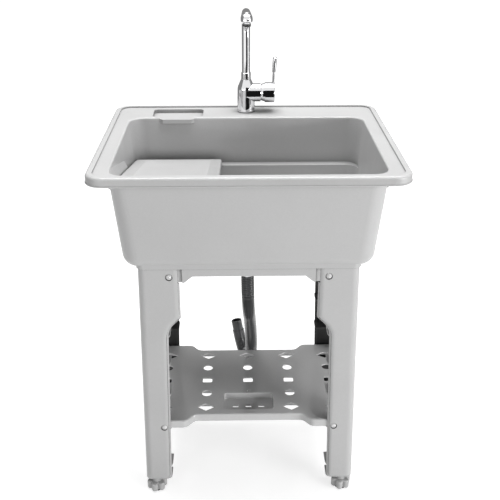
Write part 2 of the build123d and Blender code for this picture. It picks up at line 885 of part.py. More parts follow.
def shelf():
    bottom = shelf_top - shelf_depth
    body = extrude(Pos(0, 0, bottom) * shelf_outline(0), amount=shelf_depth)
    body = fillet(top_edges(body), shelf_crown)
    hollow = extrude(Pos(0, 0, bottom) * shelf_outline(shelf_sheet), amount=shelf_depth - shelf_sheet)
    body -= hollow
    tray_mid_y = (tray_back_y + tray_front_y) / 2
    tray_length = 2 * tray_half_length
    tray_width = tray_back_y - tray_front_y
    body += slab(tray_length + 2 * shelf_sheet, tray_width + 2 * shelf_sheet, tray_corner + shelf_sheet,
                 tray_mid_y, shelf_top - tray_depth - shelf_sheet, shelf_top - shelf_sheet)
    body -= slab(tray_length, tray_width, tray_corner, tray_mid_y, shelf_top - tray_depth, shelf_top + 1)
    for index in (-1, 0, 1):
        slot = RectangleRounded(tray_slot_length, tray_slot_width, tray_slot_corner)
        place = Pos(index * tray_slot_pitch, tray_mid_y, bottom - 1)
        body -= extrude(place * slot, amount=shelf_depth - tray_depth + 2)
    rib_top = shelf_top - shelf_sheet / 2
    rib_low = shelf_top - shelf_sheet - shelf_rib_depth
    reaches = {0: diamond_width / 2, 3: round_hole / 2, 4: diamond_width / 2}
    for row, reach in reaches.items():
        y = hole_row_ys[row] + reach
        rib = block(-shelf_half_length + shelf_sheet / 2, shelf_half_length - shelf_sheet / 2,
                    y, y + shelf_rib_thickness, rib_low, rib_top)
        if row in tray_rows:
            rib -= slab(tray_length, tray_width + 2 * shelf_sheet, tray_corner, tray_mid_y,
                        rib_low - 1, rib_top + 1)
        body += rib
    for cutter in shelf_cutters():
        body -= cutter
    boss_front = frame_front_y + leg_wall + part_gap
    boss_back = frame_front_y + screw_seat_depth + screw_length + 1
    for side_x in (-1, 1):
        boss = rod_y(screw_boss, side_x * screw_lower_x, screw_lower_z, boss_front, boss_back)
        pilot = rod_y(screw_pilot, side_x * screw_lower_x, screw_lower_z, boss_front - 1, boss_back + 1)
        body += boss
        body += mirror_rear(boss)
        body -= pilot
        body -= mirror_rear(pilot)
    return body


write("shelf", shelf())


# ================================================================= levelling feet
foot_front_y = frame_front_y + foot_inset
foot_rear_y = 2 * frame_mid_y - foot_front_y


def foot_insert():
    insert = rod(insert_outer, foot_x, foot_front_y, leg_bottom, insert_top)
    return insert - rod(stud + stud_fit, foot_x, foot_front_y, leg_bottom, insert_top)


def foot_knob(x, y):
    outline = Pos(x, y, knob_bottom) * Circle(knob_core)
    for index in range(knob_lobe_count):
        angle = math.radians(360 * index / knob_lobe_count + knob_lobe_phase)
        lobe_x = x + knob_lobe_place * math.cos(angle)
        lobe_y = y + knob_lobe_place * math.sin(angle)
        outline += Pos(lobe_x, lobe_y, knob_bottom) * Circle(knob_lobe)
    knob = extrude(outline, amount=knob_top - knob_bottom)
    knob = fillet(bottom_edges(knob) + top_edges(knob), knob_round)
    knob += rod(knob_neck, x, y, knob_top - 1, knob_neck_top)
    knob -= rod(stud, x, y, stud_bottom, knob_neck_top + 1)
    return knob - rod(pad_pin + stud_fit, x, y, 0, pad_height + pad_pin_length + part_gap)


def foot_pad(x, y):
    pad = rod(pad_diameter, x, y, 0, pad_height)
    return pad + rod(pad_pin, x, y, pad_height, pad_height + pad_pin_length)


write("foot_inserts", four_ways(foot_insert()))
feet = (("front_left", -foot_x, foot_front_y), ("front_right", foot_x, foot_front_y),
        ("rear_left", -foot_x, foot_rear_y), ("rear_right", foot_x, foot_rear_y))
for corner_name, corner_x, corner_y in feet:
    write("foot_knob_" + corner_name, foot_knob(corner_x, corner_y))
    write("foot_stud_" + corner_name, rod(stud, corner_x, corner_y, stud_bottom, stud_top))
    write("foot_pad_" + corner_name, foot_pad(corner_x, corner_y))


# ================================================================= drain
flange_top = floor_z - flange_seat + flange_height


def drain_flange():
    piece = rod(flange_diameter, 0, drain_y, floor_z - flange_seat, flange_top)
    piece = fillet(top_edges(piece), flange_height / 2)
    piece += rod(flange_tube, 0, drain_y, flange_tube_bottom, floor_z)
    piece -= rod(basket_seat, 0, drain_y, floor_z, flange_top + 1)
    return piece - rod(flange_bore, 0, drain_y, flange_tube_bottom - 1, flange_top)


basket_rim_low = floor_z + part_gap
basket_low = basket_rim_low - basket_depth
basket_floor = basket_low + basket_sheet


def strainer_basket():
    basket = rod(basket_rim, 0, drain_y, basket_rim_low, basket_rim_low + basket_sheet)
    basket += rod(basket_cup, 0, drain_y, basket_low, basket_rim_low + basket_sheet / 2)
    inner = basket_cup - 2 * basket_sheet
    basket -= rod(inner, 0, drain_y, basket_floor, basket_rim_low + 2 * basket_sheet)
    for index in range(basket_hole_count):
        angle = 2 * math.pi * index / basket_hole_count
        x = basket_hole_ring * math.cos(angle)
        y = drain_y + basket_hole_ring * math.sin(angle)
        basket -= rod(basket_hole, x, y, basket_low - 1, basket_low + 2 * basket_sheet)
    return basket


def strainer_knob():
    post_top = basket_floor + basket_post_height
    knob = rod(basket_post, 0, drain_y, basket_floor, post_top + 1)
    cap = rod(basket_knob_diameter, 0, drain_y, post_top, post_top + basket_knob_height)
    return knob + fillet(cap.edges().filter_by(GeomType.CIRCLE), basket_knob_height / 4)


write("drain_flange", drain_flange())
write("strainer_basket", strainer_basket())
write("strainer_knob", strainer_knob())

gasket_low = tub_bottom - gasket_height
washer_low = gasket_low - washer_height
nut_low = washer_low - drain_nut_height
thread_bore = flange_tube + 2 * thread_fit
write("drain_gasket", pipe(gasket_diameter, thread_bore, 0, drain_y, gasket_low, tub_bottom))
write("drain_washer", pipe(gasket_diameter, thread_bore, 0, drain_y, washer_low, gasket_low))


def drain_locknut():
    nut = rod(drain_nut, 0, drain_y, nut_low, washer_low)
    for index in range(drain_nut_lugs):
        lug = block(drain_nut / 2 - drain_nut_lug / 2, drain_nut / 2 + drain_nut_lug / 2,
                    -drain_nut_lug / 2, drain_nut_lug / 2, nut_low, washer_low)
        nut += Pos(0, drain_y, 0) * Rot(0, 0, 360 * index / drain_nut_lugs) * lug
    return nut - rod(thread_bore, 0, drain_y, nut_low - 1, washer_low + 1)


write("drain_locknut", drain_locknut())


def slip_nut():
    nut = rod(slip_nut_diameter, 0, drain_y, slip_nut_bottom, slip_nut_top)
    for index in range(slip_nut_grips):
        angle = 2 * math.pi * index / slip_nut_grips
        x = slip_nut_diameter / 2 * math.cos(angle)
        y = drain_y + slip_nut_diameter / 2 * math.sin(angle)
        nut += rod(slip_nut_grip, x, y, slip_nut_bottom, slip_nut_top)
    nut -= rod(thread_bore, 0, drain_y, slip_nut_bottom + slip_nut_lip, slip_nut_top + 1)
    return nut - rod(slip_nut_mouth + thread_fit, 0, drain_y, slip_nut_bottom - 1, slip_nut_top)


def tailpiece():
    top = flange_tube_bottom
    shoulder_low = slip_nut_bottom + slip_nut_lip
    cone = slip_nut_mouth / 2
    tube = tail_tube / 2
    collar_low = hose_top
    outside = [(flange_tube / 2, top), (flange_tube / 2, shoulder_low), (cone, shoulder_low)]
    outside += [(cone, slip_nut_bottom), (tube, tail_cone_bottom), (tube, collar_low + tail_collar_height)]
    outside += [(tail_collar / 2, collar_low + tail_collar_height), (tail_collar / 2, collar_low)]
    outside += [(tube, collar_low), (tube, tail_bottom)]
    inside = [(tube - tail_wall, tail_bottom), (tube - tail_wall, tail_cone_bottom)]
    inside += [(cone - tail_wall, slip_nut_bottom), (cone - tail_wall, top)]
    return turned(outside + inside, 0, drain_y)


write("slip_nut", slip_nut())
write("tailpiece", tailpiece())


# ================================================================= drain hose
# The route's points: straight down from the tailpiece, back behind the shelf, round under it
# and up again to the free end. The ribbed stretch is the route's straight first part.
hose_rib_end = hose_rib_start - hose_rib_count * hose_rib_pitch
hose_route = [
    (0.0, drain_y, hose_top),
    (0.0, drain_y, hose_rib_end - hose_lead),
    (9.0, 88.0, 266.0),
    (12.0, 123.0, 157.0),
    (-2.0, 166.0, 121.0),
    (-15.0, 202.0, 144.0),
    (-22.0, 208.0, 182.0),
]


def route_turns(points):
    turns = []
    for before, here, after in zip(points, points[1:], points[2:]):
        arriving = Vector(*here) - Vector(*before)
        leaving = Vector(*after) - Vector(*here)
        turns.append((arriving.length, leaving.length, arriving.get_angle(leaving)))
    return turns


def route_radii(points):
    return [turn_share * min(a, b) / math.tan(math.radians(turn / 2)) for a, b, turn in route_turns(points)]


def hose_ribbed():
    """The straight upper stretch: a plain cuff over the tailpiece, then ribs."""
    def ring(diameter, z):
        return Plane(origin=(0, drain_y, z), x_dir=(1, 0, 0)) * Circle(diameter / 2)

    stretch = pipe(hose_outer, hose_bore, 0, drain_y, hose_rib_start, hose_top)
    slope = hose_rib_pitch * (1 - hose_rib_crest_share) / 2
    for index in range(hose_rib_count):
        top = hose_rib_start - index * hose_rib_pitch
        rings = [ring(hose_rib_root, top), ring(hose_outer, top - slope)]
        rings += [ring(hose_outer, top - hose_rib_pitch + slope), ring(hose_rib_root, top - hose_rib_pitch)]
        rib = loft(rings, ruled=True)
        stretch += rib - rod(hose_bore, 0, drain_y, top - hose_rib_pitch - 1, top + 1)
    return stretch


def hose_smooth():
    """The plain stretch, from the last rib to the end cuff."""
    first = (0.0, drain_y, hose_rib_end)
    path = FilletPolyline(first, *hose_route[1:], radius=smooth_radii)
    start = Plane(origin=first, z_dir=path % 0)
    outer = sweep(start * Circle(hose_outer / 2), path=path)
    bore = sweep(start * Circle(hose_bore / 2), path=path)
    section = math.pi / 4 * (hose_outer ** 2 - hose_bore ** 2)
    tube = outer - bore
    print("hose smooth length", round(path.length, 1))
    print("hose smooth volume", round(tube.volume), "expected", round(section * path.length))
    return tube


smooth_radii = route_radii(hose_route)
first_tangent = math.tan(math.radians(route_turns(hose_route)[0][2] / 2))
straight_left = hose_rib_end - hose_route[1][2]
smooth_radii[0] = min(smooth_radii[0], first_turn_share * straight_left / first_tangent)
print("hose turns", [round(turn, 1) for _, _, turn in route_turns(hose_route)])
print("hose radii", [round(radius, 1) for radius in smooth_radii])

write("hose_ribbed", hose_ribbed())
write("hose_smooth", hose_smooth())


def hose_end_cuff():
    end = Vector(*hose_route[-1])
    heading = (end - Vector(*hose_route[-2])).normalized()
    start = Plane(origin=end, z_dir=heading)
    cuff = extrude(start * Circle(cuff_outer / 2), amount=cuff_length)
    cuff = fillet(cuff.edges().filter_by(GeomType.CIRCLE).sort_by(Axis.Z)[-1], (cuff_outer - cuff_bore) / 5)
    return cuff - extrude(start * Circle(cuff_bore / 2), amount=cuff_length)


write("hose_end_cuff", hose_end_cuff())


def hose_clamp():
    inner = hose_outer + 2 * clamp_gap
    outer = inner + 2 * clamp_band
    top = clamp_bottom + clamp_height
    length, depth, height = clamp_housing
    housing_y = drain_y + inner / 2 + depth / 2
    middle = (clamp_bottom + top) / 2
    clamp = rod(outer, 0, drain_y, clamp_bottom, top)
    clamp += Pos(0, housing_y, middle) * Box(length, depth, height)
    clamp += rod_x(clamp_screw, housing_y + clamp_band, middle, -length / 2, clamp_screw_length - length / 2)
    return clamp - rod(inner, 0, drain_y, clamp_bottom - 1, top + 1)


write("hose_clamp", hose_clamp())


# ================================================================= tap body and fixing
seal_top = deck_z + seal_height
bush_low = body_top - bush_height


def faucet_body():
    foot_top = seal_top + body_foot_height
    profile = [(0, seal_top), (body_foot / 2, seal_top), (body_foot / 2, foot_top)]
    profile += [(body_low / 2, foot_top + 1), (body_waist / 2, body_waist_z)]
    profile += [(body_neck / 2, body_top), (0, body_top)]
    body = turned(profile, 0, tap_y)
    waist = body.edges().filter_by(GeomType.CIRCLE).filter_by(
        lambda edge: abs(edge.center().Z - body_waist_z) < 0.1)
    body = fillet(waist, body_waist / 2)
    body += rod_x(barrel_outer, tap_y, barrel_z, 0, barrel_end_x)
    body -= rod(body_bore, 0, tap_y, seal_top, bush_low)
    body -= rod(bush_outer + bush_fit, 0, tap_y, bush_low - 1, body_top + 1)
    return body - rod_x(barrel_bore, tap_y, barrel_z, barrel_bore_start, barrel_end_x + 1)


write("faucet_body", faucet_body())
write("base_seal", pipe(seal_outer, shank_outer + 2 * thread_fit, 0, tap_y, deck_z, seal_top))
shank_bore = shank_outer - 2 * shank_wall
write("shank", pipe(shank_outer, shank_bore, 0, tap_y, shank_bottom, seal_top))
deck_under = deck_z - wall
tap_washer_low = deck_under - tap_washer_height
tap_nut_low = tap_washer_low - tap_nut_height
shank_clear = shank_outer + 2 * thread_fit
write("mounting_washer", pipe(tap_washer_outer, shank_clear, 0, tap_y, tap_washer_low, deck_under))


def faucet_locknut():
    hexagon = Pos(0, tap_y, tap_nut_low) * RegularPolygon(tap_nut_across / 2, 6, major_radius=False)
    nut = extrude(hexagon, amount=tap_nut_height)
    return nut - rod(shank_clear, 0, tap_y, tap_nut_low - 1, tap_washer_low + 1)


write("faucet_locknut", faucet_locknut())


def inlet_plug():
    """The block in the shank's lower end that the hot and cold supply hoses screw into."""
    plug = rod(shank_bore, 0, tap_y, shank_bottom, shank_bottom + inlet_plug_height)
    for side in (-1, 1):
        plug -= rod(inlet_thread, side * inlet_offset, tap_y, shank_bottom - 1, shank_bottom + inlet_depth)
    return plug


write("inlet_plug", inlet_plug())
write("neck_bush", pipe(bush_outer, neck_outer + neck_fit, 0, tap_y, bush_low, body_top))


def neck_collar():
    collar = rod(collar_outer, 0, tap_y, body_top, body_top + collar_height)
    collar = fillet(collar.edges().filter_by(GeomType.CIRCLE), collar_round)
    return collar - rod(neck_outer + neck_fit, 0, tap_y, body_top - 1, body_top + collar_height + 1)


write("neck_collar", neck_collar())

spout_z = neck_bend_z + neck_bend
neck_low = bush_low + part_gap


def neck_tube():
    corners = [(0, tap_y, neck_low), (0, tap_y, spout_z), (0, neck_end_y, spout_z)]
    path = FilletPolyline(*corners, radius=neck_bend)
    start = Plane(origin=corners[0], z_dir=(0, 0, 1))
    return sweep(start * Circle(neck_outer / 2), path=path) - sweep(start * Circle(neck_bore / 2), path=path)


write("neck_tube", neck_tube())


# ================================================================= valve and lever
def ball(radius):
    return Pos(pivot_x, tap_y, barrel_z) * Sphere(radius)


write("valve_cartridge", rod_x(cartridge_outer, tap_y, barrel_z, barrel_bore_start, cartridge_end_x))


def ball_point(x):
    """The place on the bonnet's ball face at X, in the barrel's level plane."""
    return (x, tap_y + math.sqrt(bonnet_radius ** 2 - (x - pivot_x) ** 2), barrel_z)


def valve_bonnet():
    """The ring nut whose ball face the hub turns on."""
    bore_y = tap_y + bonnet_bore / 2
    thread_y = tap_y + barrel_bore / 2 - thread_fit
    low = [(bonnet_end_x, bore_y), (cartridge_end_x, bore_y), (cartridge_end_x, thread_y)]
    low.append((barrel_end_x, thread_y))
    corners = [ball_point(bonnet_end_x)] + [(x, y, barrel_z) for x, y in low] + [ball_point(barrel_end_x)]
    face = ThreePointArc(corners[0], ball_point(pivot_x), corners[-1])
    outline = make_face(Polyline(*corners) + face)
    return revolve(outline, axis=Axis((0, tap_y, barrel_z), (1, 0, 0)))


write("valve_bonnet", valve_bonnet())
write("cartridge_stem", rod_x(stem_diameter, tap_y, barrel_z, stem_neck_x, pivot_x) + ball(stem_ball / 2))


plug_x = (hub_cavity_end_x + hub_end_x) / 2
stem_start = hub_outer / 2 - lever_root_depth
stem_end = lever_length + lever_tenon


def lever_line(piece):
    """Places a piece made along +Z from the origin on the leaning lever's axis."""
    return Pos(lever_root_x, tap_y, barrel_z) * Rot(0, lever_lean, 0) * piece


def handle_hub():
    hub = rod_x(hub_outer, tap_y, barrel_z, hub_start_x, hub_end_x)
    hub = fillet(hub.edges().filter_by(GeomType.CIRCLE).sort_by(Axis.X)[-1], hub_round)
    cavity = ball(bonnet_radius + bonnet_gap) & rod_x(hub_outer, tap_y, barrel_z, 0, hub_cavity_end_x)
    hub -= cavity
    socket = rod_x(socket_outer, tap_y, barrel_z, pivot_x, hub_cavity_end_x + 1)
    hub += socket
    hub -= ball(stem_ball / 2 + socket_fit / 2)
    hub -= rod_y(plug_diameter, plug_x, barrel_z, tap_y + hub_outer / 2 - plug_depth, tap_y + hub_outer)
    return hub - lever_line(rod(lever_diameter, 0, 0, stem_start, hub_outer))


write("handle_hub", handle_hub())
plug_face = math.sqrt((hub_outer / 2) ** 2 - (plug_diameter / 2) ** 2)
write("handle_plug", rod_y(plug_diameter, plug_x, barrel_z,
                           tap_y + hub_outer / 2 - plug_depth, tap_y + plug_face))
write("lever_stem", lever_line(rod(lever_diameter, 0, 0, stem_start, stem_end)))


def lever_grip():
    profile = [(0, lever_length), (grip_low_diameter / 2, lever_length)]
    profile += [(grip_diameter / 2, lever_length + grip_swell)]
    profile += [(grip_diameter / 2, lever_length + grip_length), (0, lever_length + grip_length)]
    grip = turned(profile, 0, 0)
    grip = fillet(grip.edges().filter_by(GeomType.CIRCLE).sort_by(Axis.Z)[-1], grip_round)
    return lever_line(grip - rod(lever_diameter, 0, 0, lever_length, stem_end))


write("lever_grip", lever_grip())


# ================================================================= pull-out head
head_rear_y = neck_end_y - head_gap
head_radius = head_front / 2
tilt = math.radians(nozzle_tilt)
nozzle_axis = (0, -math.cos(tilt), -math.sin(tilt))


def turned_y(points):
    """A piece turned round the spout's level axis: points are (radius, y)."""
    outline = make_face(Polyline(*[(r, y, spout_z) for r, y in points], close=True))
    return revolve(outline, axis=Axis((0, 0, spout_z), (0, 1, 0)))


def along_nozzle(diameter, start, end):
    base = Plane(origin=(0, head_ball_y, spout_z), z_dir=nozzle_axis)
    return base * Pos(0, 0, (start + end) / 2) * Cylinder(diameter / 2, end - start)


def spray_head():
    skin = [(0, head_rear_y), (head_rear / 2, head_rear_y), (head_mid / 2, head_mid_y)]
    skin += [(head_radius, head_front_y), (head_radius, head_ball_y), (0, head_ball_y)]
    head = turned_y(skin) + Pos(0, head_ball_y, spout_z) * Sphere(head_radius)
    head += along_nozzle(nozzle_outer, nozzle_start, nozzle_face)
    head -= along_nozzle(2 * nozzle_outer, nozzle_face, nozzle_face + head_front)
    head -= rod_y(pull_hose + 2 * pull_hose_fit, 0, spout_z, head_ball_y, head_rear_y + 1)
    head -= along_nozzle(nozzle_ring_bore - 2 * head_wall, 0, nozzle_face + 1)
    well = button_skirt + 2 * button_fit
    head_top = spout_z + head_radius
    floor = head_top - button_height - button_travel
    head -= rod(button_diameter + button_fit, 0, button_y, floor, head_top + 2)
    return head - rod(well, 0, button_y, floor, head_top - button_rise)


write("spray_head", spray_head())


def nozzle_ring():
    ring = along_nozzle(nozzle_outer, nozzle_face, nozzle_face + nozzle_ring_height)
    return ring - along_nozzle(nozzle_ring_bore, nozzle_face - 1, nozzle_face + nozzle_ring_height + 1)


def nozzle_plate():
    face = nozzle_face + nozzle_ring_height - nozzle_plate_rise
    plate = along_nozzle(nozzle_ring_bore, nozzle_face, face)
    base = Plane(origin=(0, head_ball_y, spout_z), z_dir=nozzle_axis)
    for radius, count in zip(nozzle_bead_radii, nozzle_bead_counts):
        for index in range(count):
            angle = 2 * math.pi * index / count
            place = Pos(radius * math.cos(angle), radius * math.sin(angle), face)
            plate += base * place * Cylinder(nozzle_bead / 2, nozzle_plate_rise * 2)
    return plate


write("nozzle_ring", nozzle_ring())
write("nozzle_plate", nozzle_plate())

head_top = spout_z + head_radius
button_floor = head_top - button_height - button_travel
skirt_top = head_top - button_rise - part_gap
button_low = button_floor + button_travel + part_gap


def spray_button():
    button = rod(button_diameter - button_fit, 0, button_y, button_low, head_top + button_rise / 2)
    button = fillet(top_edges(button), button_rise / 3)
    return button + rod(button_skirt, 0, button_y, skirt_top - button_skirt_height, skirt_top)


write("spray_button", spray_button())
write("pull_hose", rod_y(pull_hose, 0, spout_z, pull_hose_end_y, pull_hose_start_y)
      - rod_y(pull_hose_bore, 0, spout_z, pull_hose_end_y - 1, pull_hose_start_y + 1))
guide_bush_end = neck_end_y + guide_bush_length
write("neck_end_bush", rod_y(neck_bore - guide_bush_fit, 0, spout_z, neck_end_y, guide_bush_end)
      - rod_y(pull_hose, 0, spout_z, neck_end_y - 1, guide_bush_end + 1))
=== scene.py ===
"""Looks for a utility laundry sink: moulded grey plastics, a polished tap and a dark drain hose."""
import json
import math

import bmesh
import bpy
from mathutils import Matrix, Vector


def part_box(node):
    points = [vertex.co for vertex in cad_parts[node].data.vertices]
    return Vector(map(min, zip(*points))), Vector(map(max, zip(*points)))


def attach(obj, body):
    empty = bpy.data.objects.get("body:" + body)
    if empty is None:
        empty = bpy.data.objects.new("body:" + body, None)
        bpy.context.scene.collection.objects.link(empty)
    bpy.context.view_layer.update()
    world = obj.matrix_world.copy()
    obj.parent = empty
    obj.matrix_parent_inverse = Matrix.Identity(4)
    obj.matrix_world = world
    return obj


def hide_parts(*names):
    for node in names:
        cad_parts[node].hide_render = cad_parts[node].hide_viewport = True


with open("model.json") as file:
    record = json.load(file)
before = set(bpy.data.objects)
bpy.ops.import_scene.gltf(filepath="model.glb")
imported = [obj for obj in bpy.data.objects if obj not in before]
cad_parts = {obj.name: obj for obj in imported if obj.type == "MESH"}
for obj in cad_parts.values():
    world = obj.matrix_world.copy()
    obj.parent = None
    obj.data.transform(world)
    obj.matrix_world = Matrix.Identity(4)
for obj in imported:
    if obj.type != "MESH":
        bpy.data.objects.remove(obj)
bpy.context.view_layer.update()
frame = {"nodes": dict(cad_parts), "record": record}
nodes = frame["nodes"]

scene = bpy.context.scene
scene.view_settings.view_transform = "Standard"

# ------------------------------------------------------------------ drain hose sizes, in metres
# The route repeats the points of the part's source: down from the tailpiece, back behind the shelf
# and up again to the free end.
DRAIN_Y = 0.010
HOSE_TOP = 0.480
HOSE_ROUTE = [
    (0.0, DRAIN_Y, HOSE_TOP),
    (0.0, DRAIN_Y, 0.376),
    (0.009, 0.088, 0.266),
    (0.012, 0.123, 0.157),
    (-0.002, 0.166, 0.121),
    (-0.015, 0.202, 0.144),
    (-0.022, 0.208, 0.182),
]
# Lengths along the hose start at its top, where a plain cuff comes before the ribs.
HOSE_DIAMETER = 0.030
HOSE_CUFF = 0.031
HOSE_RIB_PITCH = 0.0062
HOSE_RIB_COUNT = 9
HOSE_RIB_ROOT = 0.0264
HOSE_RIB_END = HOSE_CUFF + HOSE_RIB_COUNT * HOSE_RIB_PITCH

# ------------------------------------------------------------------ finishes
# A noise texture's values lie mostly inside this band, which the effects stretch to their own.
NOISE_BAND = (0.3, 0.7)
UNTINTED = (1.0, 1.0, 1.0)

# A Mix node's colour sockets share their labels with its number sockets, so they go by place.
MIX_FIRST_COLOUR = 6
MIX_SECOND_COLOUR = 7
MIX_COLOUR_RESULT = 2


# ------------------------------------------------------------------ node helpers
def plain_grey(level):
    """An opaque grey as a colour."""
    return (level, level, level, 1.0)


def feed(tree, socket, value):
    """Sets a socket to a number or colour, or links another node's output to it."""
    if isinstance(value, bpy.types.NodeSocket):
        tree.links.new(value, socket)
    else:
        socket.default_value = value


def new_group(name, inputs, outputs):
    """A shader node group with named sockets, and its input and output nodes."""
    group = bpy.data.node_groups.new(name, "ShaderNodeTree")
    for label, kind, default in inputs:
        socket = group.interface.new_socket(label, in_out="INPUT", socket_type=kind)
        if default is not None:
            socket.default_value = default
    for label, kind in outputs:
        group.interface.new_socket(label, in_out="OUTPUT", socket_type=kind)
    return group, group.nodes.new("NodeGroupInput"), group.nodes.new("NodeGroupOutput")


def math_node(tree, operation, *values):
    """A Math node; each value is a number or a socket. Returns its output."""
    node = tree.nodes.new("ShaderNodeMath")
    node.operation = operation
    for socket, value in zip(node.inputs, values):
        feed(tree, socket, value)
    return node.outputs["Value"]


def band_round(tree, middle, reach):
    """The two ends of a band, as sockets: a middle value less and plus a reach."""
    return math_node(tree, "SUBTRACT", middle, reach), math_node(tree, "ADD", middle, reach)


def noise(tree, vector, scale, detail, roughness=0.5):
    """A Noise Texture's value; its scale is a number or a socket."""
    node = tree.nodes.new("ShaderNodeTexNoise")
    feed(tree, node.inputs["Vector"], vector)
    feed(tree, node.inputs["Scale"], scale)
    feed(tree, node.inputs["Detail"], detail)
    feed(tree, node.inputs["Roughness"], roughness)
    return node.outputs["Fac"]


def remap(tree, value, from_band, to_band):
    """Moves a value from one band of numbers to another, and holds it inside that."""
    node = tree.nodes.new("ShaderNodeMapRange")
    feed(tree, node.inputs["Value"], value)
    labels = ("From Min", "From Max", "To Min", "To Max")
    for label, end in zip(labels, (*from_band, *to_band)):
        feed(tree, node.inputs[label], end)
    return node.outputs["Result"]


def shade(tree, colour, factor):
    """The colour times a brightness factor."""
    node = tree.nodes.new("ShaderNodeVectorMath")
    node.operation = "SCALE"
    feed(tree, node.inputs["Vector"], colour)
    feed(tree, node.inputs["Scale"], factor)
    return node.outputs["Vector"]


def blend_colours(tree, factor, first, second):
    """The first colour where the factor is 0, and the second where it is 1."""
    node = tree.nodes.new("ShaderNodeMix")
    node.data_type = "RGBA"
    feed(tree, node.inputs["Factor"], factor)
    feed(tree, node.inputs[MIX_FIRST_COLOUR], first)
    feed(tree, node.inputs[MIX_SECOND_COLOUR], second)
    return node.outputs[MIX_COLOUR_RESULT]


# ------------------------------------------------------------------ shared surface effects
SURFACE_OUTPUTS = [
    ("Colour", "NodeSocketColor"),
    ("Roughness", "NodeSocketFloat"),
    ("Height", "NodeSocketFloat"),
]


def make_moulded_group():
    """Moulded plastic: faint drifts of tone, a fine etched grain and uneven gloss."""
    group, start, end = new_group(
        "moulded_surface",
        [("Vector", "NodeSocketVector", None),
         ("Colour", "NodeSocketColor", plain_grey(0.8)),
         ("Tone Drift", "NodeSocketFloat", 0.03),
         ("Gloss", "NodeSocketFloat", 0.4),
         ("Gloss Drift", "NodeSocketFloat", 0.06),
         ("Grain Size", "NodeSocketFloat", 900.0)],
        SURFACE_OUTPUTS)
    vector = start.outputs["Vector"]

    tone_band = band_round(group, 1.0, start.outputs["Tone Drift"])
    tone = remap(group, noise(group, vector, scale=5.0, detail=4.0), NOISE_BAND, tone_band)
    speck = remap(group, noise(group, vector, scale=260.0, detail=2.0), NOISE_BAND, (0.985, 1.015))
    brightness = math_node(group, "MULTIPLY", tone, speck)
    feed(group, end.inputs["Colour"], shade(group, start.outputs["Colour"], brightness))

    gloss_band = band_round(group, start.outputs["Gloss"], start.outputs["Gloss Drift"])
    gloss = remap(group, noise(group, vector, scale=17.0, detail=5.0), NOISE_BAND, gloss_band)
    feed(group, end.inputs["Roughness"], gloss)

    grain = noise(group, vector, scale=start.outputs["Grain Size"], detail=2.0)
    wave_share = 0.8
    waves = math_node(group, "MULTIPLY", noise(group, vector, scale=24.0, detail=1.0), wave_share)
    feed(group, end.inputs["Height"], math_node(group, "ADD", grain, waves))
    return group


def make_brushed_group():
    """Drawn or turned metal: fine lines in rings round the Z axis."""
    group, start, end = new_group(
        "brushed_surface",
        [("Vector", "NodeSocketVector", None),
         ("Colour", "NodeSocketColor", plain_grey(0.7)),
         ("Gloss", "NodeSocketFloat", 0.3),
         ("Gloss Drift", "NodeSocketFloat", 0.08)],
        SURFACE_OUTPUTS)
    vector = start.outputs["Vector"]
    squeeze = group.nodes.new("ShaderNodeMapping")
    lines_closer_in_z = 60.0
    squeeze.inputs["Scale"].default_value = (1.0, 1.0, lines_closer_in_z)
    feed(group, squeeze.inputs["Vector"], vector)
    lines = noise(group, squeeze.outputs["Vector"], scale=40.0, detail=4.0, roughness=0.6)
    feed(group, end.inputs["Height"], lines)

    gloss_band = band_round(group, start.outputs["Gloss"], start.outputs["Gloss Drift"])
    feed(group, end.inputs["Roughness"], remap(group, lines, NOISE_BAND, gloss_band))

    tone = remap(group, noise(group, vector, scale=30.0, detail=3.0), NOISE_BAND, (0.95, 1.04))
    feed(group, end.inputs["Colour"], shade(group, start.outputs["Colour"], tone))
    return group


moulded_surface = make_moulded_group()
brushed_surface = make_brushed_group()


# ------------------------------------------------------------------ material helpers
def start_material(name):
    """A new material, its tree, its Principled shader and the Object coordinates."""
    material = bpy.data.materials.new(name)
    material.use_nodes = True
    tree = material.node_tree
    shader = tree.nodes["Principled BSDF"]
    coordinates = tree.nodes.new("ShaderNodeTexCoord")
    return material, tree, shader, coordinates.outputs["Object"]


def use_surface(tree, shader, group, vector, depth, settings):
    """Puts a shared surface effect on a shader, with relief of that depth in metres."""
    surface = tree.nodes.new("ShaderNodeGroup")
    surface.node_tree = group
    feed(tree, surface.inputs["Vector"], vector)
    for label, value in settings.items():
        feed(tree, surface.inputs[label], value)
    feed(tree, shader.inputs["Base Color"], surface.outputs["Colour"])
    feed(tree, shader.inputs["Roughness"], surface.outputs["Roughness"])

    bump = tree.nodes.new("ShaderNodeBump")
    feed(tree, bump.inputs["Distance"], depth)
    feed(tree, bump.inputs["Height"], surface.outputs["Height"])
    feed(tree, shader.inputs["Normal"], bump.outputs["Normal"])


def moulded(name, grey, gloss=0.42, tone_drift=0.025, depth=0.00003, coat=0.0, tint=UNTINTED):
    """A moulded plastic or rubber of one grey, with a faint tint."""
    material, tree, shader, vector = start_material(name)
    colour = (*(grey * part for part in tint), 1.0)
    settings = {"Colour": colour, "Tone Drift": tone_drift, "Gloss": gloss}
    use_surface(tree, shader, moulded_surface, vector, depth, settings)
    shader.inputs["Coat Weight"].default_value = coat
    shader.inputs["Coat Roughness"].default_value = 0.12
    return material


def metal(name, colour, gloss):
    """A drawn or turned metal."""
    material, tree, shader, vector = start_material(name)
    settings = {"Colour": (*colour, 1.0), "Gloss": gloss, "Gloss Drift": 0.05}
    line_depth = 0.00001
    use_surface(tree, shader, brushed_surface, vector, line_depth, settings)
    shader.inputs["Metallic"].default_value = 1.0
    return material


